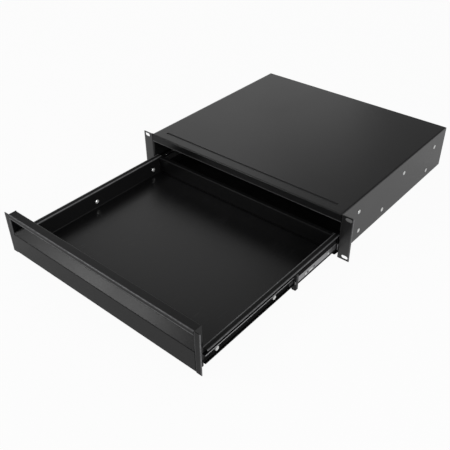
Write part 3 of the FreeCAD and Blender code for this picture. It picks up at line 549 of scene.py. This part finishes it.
def rolled_zinc(metal):
    """Zinc-plated rolled steel: marks along the length, a lit web and shoulders darkened as
    painted shade.
    """
    finish = Finish("rolled_zinc_plate")
    stretch = (1.0, metal.grain_length / ZINC_MARK, 1.0)
    marks = finish.noise(ZINC_MARK, detail=3.0, stretch=stretch)
    cloud = finish.noise(ZINC_CLOUD, detail=4.0, stretch=(1.0, 2.5, 1.0), rough=0.65)
    spangle = finish.noise(ZINC_SPANGLE, detail=1.0)
    tone = finish.mix_colour(
        cloud, shade(metal.slide_colour, 0.82), shade(metal.slide_colour, 1.12)
    )
    tone = finish.mix_colour(marks.above(0.6, 0.2) * 0.35, tone, shade(metal.slide_colour, 0.7))
    # Painted shade: the shoulders above and below the web are darkened, with a wavy border.
    height = finish.z + cloud * SHADE_WAVE - SHADE_WAVE / 2
    shoulders = height.above(WEB_HIGH, SHADE_EDGE) + height.below(WEB_LOW, SHADE_EDGE)
    shoulder_shade = shoulders * metal.grease_and_shade
    tone = finish.mix_colour(shoulder_shade, tone, SHOULDER_SHADE)
    finish.set(
        Base_Color=tone,
        Metallic=1.0,
        Roughness=(
            marks * 0.16 + cloud * 0.1 + spangle * 0.06 + shoulder_shade * 0.55
            + (metal.slide_roughness - 0.16)
        ).limited(),
        Normal=finish.bump(marks, MARK_DEPTH),
    )
    return finish.material


def black_slide_steel(coat, metal):
    """Black-coated rolled steel, with a painted highlight in bare zinc along the tip of its upper
    flange.
    """
    finish = Finish("black_slide_steel")
    marks = finish.noise(BLACK_MARK, detail=3.0, stretch=(1.0, BLACK_MARK_STRETCH, 1.0))
    cloud = finish.noise(BLACK_CLOUD, detail=3.0, stretch=(1.0, 2.0, 1.0))
    # Painted highlight: the tip of the upper flange is coloured as bright bare zinc.
    reach = abs(finish.x)
    tip = reach.above(MEMBER_HIGH.x - TIP_WIDTH, TIP_EDGE)
    upper = (finish.z - SLIDE_Z).above(0.0, TIP_FADE)
    worn_and_lit = (tip * upper * (cloud * 0.6 + 0.7)).limited()
    finish.set(
        Base_Color=finish.mix_colour(worn_and_lit, shade(coat.colour, 0.4), shade(metal.slide_colour)),
        Metallic=worn_and_lit,
        Roughness=(marks * 0.12 + cloud * 0.1 + 0.38).limited(),
        Specular_IOR_Level=coat.gloss * MEMBER_GLOSS,
        Normal=finish.bump(marks, MARK_DEPTH),
    )
    return finish.material


def pressed_steel(metal):
    """Thin spring steel of the ball cages, with pressing marks and a film of grease."""
    finish = Finish("pressed_cage_steel")
    marks = finish.noise(CAGE_MARK, detail=3.0, stretch=(1.0, CAGE_MARK_STRETCH, 1.0))
    grease_and_shade = finish.noise(GREASE_PATCH, detail=3.0).above(0.55, 0.2)
    finish.set(
        Base_Color=finish.mix_colour(grease_and_shade * 0.5, shade(metal.slide_colour, 0.85), CAGE_GREASE),
        Metallic=1.0,
        Roughness=(marks * 0.2 - grease_and_shade * 0.12 + 0.32).limited(),
        Normal=finish.bump(marks, CAGE_MARK_DEPTH),
    )
    return finish.material


def polished_balls(metal):
    """Hardened steel balls: nearly mirror bright, with a smear of grease."""
    finish = Finish("polished_ball_steel")
    smear = finish.noise(BALL_SMEAR, detail=2.0).above(0.5, 0.3)
    finish.set(
        Base_Color=finish.mix_colour(smear * 0.3, shade(metal.ball_colour), BALL_GREASE),
        Metallic=1.0,
        Roughness=(smear * 0.12 + 0.08).limited(),
    )
    return finish.material


def bright_zinc(metal):
    """Bright zinc on screws, nuts and rivets: small stains and tool marks."""
    finish = Finish("bright_zinc_plate")
    stain = finish.noise(SCREW_STAIN, detail=3.0, rough=0.6)
    marks = finish.noise(SCREW_MARK, detail=2.0)
    tone = finish.mix_colour(
        stain, shade(metal.screw_colour, 0.84), shade(metal.screw_colour, 1.05)
    )
    finish.set(
        Base_Color=tone,
        Metallic=0.7,
        Roughness=(stain * 0.14 + marks * 0.1 + 0.18).limited(),
        Normal=finish.bump(marks, MARK_DEPTH),
    )
    return finish.material


def moulded_plastic(mouldings):
    """Black plastic with a fine spark-eroded texture and shiny rub spots."""
    finish = Finish("moulded_black_plastic")
    texture = finish.noise(PLASTIC_TEXTURE, detail=2.0)
    shine = finish.noise(PLASTIC_SHINE, detail=2.0).above(0.6, 0.2)
    finish.set(
        Base_Color=finish.mix_colour(
            texture, shade(mouldings.plastic_colour, 0.85), shade(mouldings.plastic_colour, 1.4)
        ),
        Roughness=(texture * 0.12 - shine * 0.12 + 0.48).limited(),
        Normal=finish.bump(texture, TEXTURE_DEPTH),
    )
    return finish.material


def moulded_rubber(mouldings):
    """Matt rubber with a faint bloom."""
    finish = Finish("moulded_rubber")
    bloom = finish.noise(RUBBER_BLOOM, detail=4.0, rough=0.6)
    pores = finish.noise(RUBBER_PORE, detail=1.0)
    finish.set(
        Base_Color=finish.mix_colour(
            bloom.above(0.5, 0.5) * 0.4, shade(mouldings.rubber_colour), BLOOM
        ),
        Roughness=(bloom * 0.15 + 0.72).limited(),
        Normal=finish.bump(pores, PORE_DEPTH),
    )
    return finish.material


# --- small mesh pieces -----------------------------------------------------------------------
def loft(shape, rings):
    """Closed skin over rings of points, capped at both ends."""
    levels = [[shape.verts.new(point) for point in ring] for ring in rings]
    for low, high in zip(levels, levels[1:]):
        for index in range(len(low)):
            after = (index + 1) % len(low)
            shape.faces.new((low[index], low[after], high[after], high[index]))
    shape.faces.new(levels[0])
    shape.faces.new(levels[-1])


def weld_bead(shape, start, end):
    """Stitch weld: a rippled bead that tapers at both ends."""
    start, end = Vector(start), Vector(end)
    run = end - start
    along = run.normalized()
    first = along.orthogonal().normalized()
    second = along.cross(first)
    turns = [math.tau * side / WELD_SIDES for side in range(WELD_SIDES)]
    spokes = [first * math.cos(turn) + second * math.sin(turn) for turn in turns]
    rings = []
    for step in range(WELD_STEPS + 1):
        part = step / WELD_STEPS
        taper = math.sqrt(max(WELD_END, 1 - (2 * part - 1) ** WELD_TAPER))
        ripple = 1 + WELD_RIPPLE_DEPTH * math.cos(math.tau * run.length * part / WELD_RIPPLE)
        radius = WELD_RADIUS * taper * ripple
        centre = start + run * part
        rings.append([centre + spoke * radius for spoke in spokes])
    loft(shape, rings)


def mesh_piece(name, body, material, draw, bevel=0.0):
    """Makes a piece from what draw adds to a bmesh; it rides on a body."""
    shape = bmesh.new()
    draw(shape)
    bmesh.ops.recalc_face_normals(shape, faces=shape.faces)
    mesh = bpy.data.meshes.new(name)
    shape.to_mesh(mesh)
    shape.free()
    mesh.materials.append(material)
    made = bpy.data.objects.new(name, mesh)
    bpy.context.scene.collection.objects.link(made)
    if bevel:
        rounding = made.modifiers.new("rounding", "BEVEL")
        rounding.width = bevel
        rounding.segments = 2
    else:
        mesh.shade_smooth()
    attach(made, body)


def lever_ribs(mirror):
    """Draws the grip ribs across the tab of a release lever."""
    def draw(shape):
        base, crest = LEVER_HIGH.x - OVERLAP, LEVER_HIGH.x + RIB_RISE
        for index in range(RIB_COUNT):
            front = LEVER_LOW.y + RIB_MARGIN + index * RIB_PITCH
            back = front + RIB_FOOT
            outline = (
                (base, front), (crest, front + RIB_FLANK), (crest, back - RIB_FLANK), (base, back),
            )
            loft(shape, [
                [(mirror * x, y, SLIDE_Z + level) for x, y in outline]
                for level in (-RIB_HALF_LENGTH, RIB_HALF_LENGTH)
            ])
    return draw


def bumper_clip(mirror):
    """Draws the pressed plate on the front of a middle bumper, with a raised middle."""
    def draw(shape):
        middle = BUMPER_HIGH.x - CLIP_MARGIN - CLIP_HALF_WIDTH
        loft(shape, [
            [
                (
                    mirror * (middle + across * CLIP_HALF_WIDTH * share),
                    BUMPER_LOW.y - rise,
                    SLIDE_Z + up * CLIP_HALF_HEIGHT * share,
                )
                for across, up in CLIP_OUTLINE
            ]
            for share, rise in CLIP_LEVELS
        ])
    return draw


def corner_welds(shape, y, span):
    """Draws an upright stitch weld at both ends of a wall."""
    low, high = (BACK_WALL_LOW.z + height for height in span)
    for x in (-BACK_WALL_HIGH.x, BACK_WALL_HIGH.x):
        weld_bead(shape, (x, y, low), (x, y, high))


def front_welds(shape):
    """Draws the stitch welds behind the front wall, along the floor and up both sides."""
    y, floor = FRONT_WALL_HIGH.y, BACK_WALL_LOW.z
    half = FLOOR_WELD_LENGTH / 2
    for x in FLOOR_WELDS:
        weld_bead(shape, (x - half, y, floor), (x + half, y, floor))
    corner_welds(shape, y, FRONT_CORNER_WELD)


def back_welds(shape):
    """Draws the stitch welds in front of the back wall."""
    corner_welds(shape, BACK_WALL_LOW.y, BACK_CORNER_WELD)


# --- studio ---------------------------------------------------------------------------------
def floor_paint(studio):
    """Pale floor that keeps shadows: it glows to the eye and through glass, less in gloss."""
    finish = Finish("studio_floor")
    finish.set(Base_Color=shade(studio.floor_colour), Roughness=0.9)
    seen = finish.node("ShaderNodeLightPath")
    camera = Value(finish, seen.outputs["Is Camera Ray"])
    glossy = Value(finish, seen.outputs["Is Glossy Ray"])
    through = Value(finish, seen.outputs["Is Transmission Ray"])
    white = finish.node("ShaderNodeEmission", inputs={"Color": WHITE, "Strength": 1.0})
    factor = (camera + glossy * studio.mirrored + through).limited() * studio.glow
    mixed = finish.node(
        "ShaderNodeMixShader",
        inputs={0: factor, 1: finish.shader.outputs[0], 2: white.outputs[0]},
    )
    feed(finish.tree, finish.output.inputs[0], mixed.outputs[0])
    return finish.material


def studio_floor(studio):
    """Flat floor under the case, far wider than the view."""
    level = CAD_BOX[0].z - studio.floor_drop
    around = ((-1, -1), (1, -1), (1, 1), (-1, 1))
    mesh = bpy.data.meshes.new("studio_floor")
    corners = [(x * FLOOR_REACH, y * FLOOR_REACH, level) for x, y in around]
    mesh.from_pydata(corners, [], [(0, 1, 2, 3)])
    mesh.materials.append(floor_paint(studio))
    made = bpy.data.objects.new("studio_floor", mesh)
    bpy.context.scene.collection.objects.link(made)


def surroundings(studio):
    """Surroundings that are white to the camera and dimmer to every other ray."""
    world = bpy.data.worlds.new("studio_surroundings")
    world.use_nodes = True
    tree = world.node_tree
    seen = add_node(tree, "ShaderNodeLightPath")
    strength = add_node(
        tree, "ShaderNodeMapRange",
        inputs={"Value": seen.outputs["Is Camera Ray"], "To Min": studio.sky, "To Max": 1.0},
    )
    background = tree.nodes["Background"]
    feed(tree, background.inputs["Color"], WHITE)
    feed(tree, background.inputs["Strength"], strength.outputs[0])
    return world


def soft_box(name, place, target, size, power):
    """Rectangular lamp that faces a point."""
    data = bpy.data.lights.new(name, "AREA")
    data.shape = "RECTANGLE"
    data.size, data.size_y = size
    data.energy = power
    lamp = bpy.data.objects.new(name, data)
    bpy.context.scene.collection.objects.link(lamp)
    lamp.location = place
    lamp.rotation_mode = "QUATERNION"
    lamp.rotation_quaternion = (Vector(target) - Vector(place)).to_track_quat("-Z", "Y")


def camera_at(place, lens):
    """Camera at a place, turned right of the drawer and looking down."""
    data = bpy.data.cameras.new("studio_camera")
    data.sensor_width = SENSOR_WIDTH
    data.lens = lens
    data.shift_x, data.shift_y = CAMERA_SHIFT
    data.clip_start = 0.01
    camera = bpy.data.objects.new("studio_camera", data)
    bpy.context.scene.collection.objects.link(camera)
    aim = Matrix.Identity(4)
    for angle, axis in CAMERA_TURNS:
        aim = aim @ Matrix.Rotation(math.radians(angle), 4, axis)
    camera.matrix_world = Matrix.Translation(Vector(place)) @ aim
    return camera


# --- operators ------------------------------------------------------------------------------
class DRAWER_OT_case(Operator):
    """Coats the base with its rack ears and the top cover"""

    bl_idname = "rack_drawer.case"
    bl_label = "Case Sheets"

    def execute(self, context):
        coat = settings(context, "drawer_coat")
        give(powder_coat(coat, "base_powder_coat", coat.base_gloss, CASE_EDGES), ["case_base"])
        give(powder_coat(coat, "cover_powder_coat", coat.gloss, COVER_EDGES), ["top_cover"])
        return {"FINISHED"}


class DRAWER_OT_front_panel(Operator):
    """Coats the finger-pull front panel and its end caps"""

    bl_idname = "rack_drawer.front_panel"
    bl_label = "Front Panel"

    def execute(self, context):
        coat = settings(context, "drawer_coat")
        gloss = coat.panel_gloss
        give(powder_coat(coat, "panel_powder_coat", gloss, PANEL_EDGES), ["front_panel"])
        give(powder_coat(coat, "end_cap_powder_coat", gloss, CAP_EDGES), both("panel_end_cap"))
        return {"FINISHED"}


class DRAWER_OT_tray(Operator):
    """Coats the drawer tray and adds its stitch welds"""

    bl_idname = "rack_drawer.tray"
    bl_label = "Drawer Tray"

    def execute(self, context):
        coat = settings(context, "drawer_coat")
        paint = tray_coat(coat, "tray_powder_coat", coat.gloss)
        # A dimmer copy of the tray coat paints shade on the back wall and its welds.
        shaded_paint = tray_coat(coat, "back_wall_powder_coat", coat.gloss * BACK_WALL_SHADE_GLOSS)
        give(paint, ["drawer_tray", "tray_front_wall"])
        give(shaded_paint, ["tray_back_wall"])
        mesh_piece("tray_front_welds", "drawer", paint, front_welds)
        mesh_piece("tray_back_welds", "drawer", shaded_paint, back_welds)
        return {"FINISHED"}


class DRAWER_OT_slides(Operator):
    """Finishes the three sections of each ball-bearing slide"""

    bl_idname = "rack_drawer.slides"
    bl_label = "Slide Members"

    def execute(self, context):
        metal = settings(context, "drawer_metal")
        give(rolled_zinc(metal), both("cabinet_member", "middle_member"))
        black = black_slide_steel(settings(context, "drawer_coat"), metal)
        give(black, both("drawer_member"))
        return {"FINISHED"}


class DRAWER_OT_ball_cages(Operator):
    """Finishes the ball cages and their balls"""

    bl_idname = "rack_drawer.ball_cages"
    bl_label = "Ball Cages"

    def execute(self, context):
        metal = settings(context, "drawer_metal")
        give(pressed_steel(metal), both("outer_cage", "inner_cage"))
        give(polished_balls(metal), both("outer_balls", "inner_balls"))
        return {"FINISHED"}


class DRAWER_OT_fasteners(Operator):
    """Finishes the screws, nuts, rivets and pressed stops"""

    bl_idname = "rack_drawer.fasteners"
    bl_label = "Fasteners"

    def execute(self, context):
        # The middle stops take the bright zinc as a painted highlight on the pressed stops.
        names = ["panel_screws", "panel_nuts"] + both(
            "cover_screws", "cover_nuts", "cabinet_screws", "drawer_screws", "drawer_nuts",
            "lever_rivet", "middle_stops",
        )
        give(bright_zinc(settings(context, "drawer_metal")), names)
        return {"FINISHED"}


class DRAWER_OT_mouldings(Operator):
    """Finishes the plastic and rubber pieces; adds the levers' ribs and the bumpers' clips"""

    bl_idname = "rack_drawer.mouldings"
    bl_label = "Bumpers and Levers"

    def execute(self, context):
        mouldings = settings(context, "drawer_mouldings")
        plastic = moulded_plastic(mouldings)
        steel = pressed_steel(settings(context, "drawer_metal"))
        give(plastic, both("middle_bumper", "release_lever"))
        give(moulded_rubber(mouldings), both("rear_bumper"))
        for side, mirror in (("left", -1), ("right", 1)):
            mesh_piece(
                f"{side}_lever_ribs", f"{side}_lever", plastic,
                lever_ribs(mirror), bevel=EDGE_BEVEL,
            )
            mesh_piece(
                f"{side}_bumper_clip", f"{side}_middle", steel,
                bumper_clip(mirror), bevel=EDGE_BEVEL,
            )
        return {"FINISHED"}


class DRAWER_OT_studio(Operator):
    """Builds the pale floor, the soft lamps and the camera"""

    bl_idname = "rack_drawer.studio"
    bl_label = "Studio"

    def execute(self, context):
        studio = settings(context, "drawer_studio")
        scene = context.scene
        scene.view_settings.view_transform = "Standard"
        studio_floor(studio)
        scene.world = surroundings(studio)
        for name, place, target, size in LAMPS:
            soft_box(f"{name}_lamp", place, target, size, getattr(studio, f"{name}_power"))
        scene.camera = camera_at(CAMERA_PLACE, studio.lens)
        return {"FINISHED"}


PIECES = (
    DRAWER_OT_case,
    DRAWER_OT_front_panel,
    DRAWER_OT_tray,
    DRAWER_OT_slides,
    DRAWER_OT_ball_cages,
    DRAWER_OT_fasteners,
    DRAWER_OT_mouldings,
    DRAWER_OT_studio,
)


class DRAWER_PT_sidebar(Panel):
    """Lists the drawer's settings and operators"""

    bl_label = "Rack Drawer"
    bl_idname = "DRAWER_PT_sidebar"
    bl_space_type = "VIEW_3D"
    bl_region_type = "UI"
    bl_category = "Rack Drawer"

    def draw(self, context):
        for name in SETTINGS:
            group = settings(context, name)
            section = self.layout.box()
            for field in group.bl_rna.properties.keys():
                if field not in ("rna_type", "name"):
                    section.prop(group, field)
        for piece in PIECES:
            self.layout.operator(piece.bl_idname)


def register():
    for made in (*SETTINGS.values(), *PIECES, DRAWER_PT_sidebar):
        bpy.utils.register_class(made)
    for name, group in SETTINGS.items():
        setattr(bpy.types.Scene, name, PointerProperty(type=group))


def unregister():
    for name in SETTINGS:
        delattr(bpy.types.Scene, name)
    for made in reversed((*SETTINGS.values(), *PIECES, DRAWER_PT_sidebar)):
        bpy.utils.unregister_class(made)


def main():
    register()
    for piece in PIECES:
        group, name = piece.bl_idname.split(".")
        getattr(getattr(bpy.ops, group), name)()


if __name__ == "__main__":
    main()
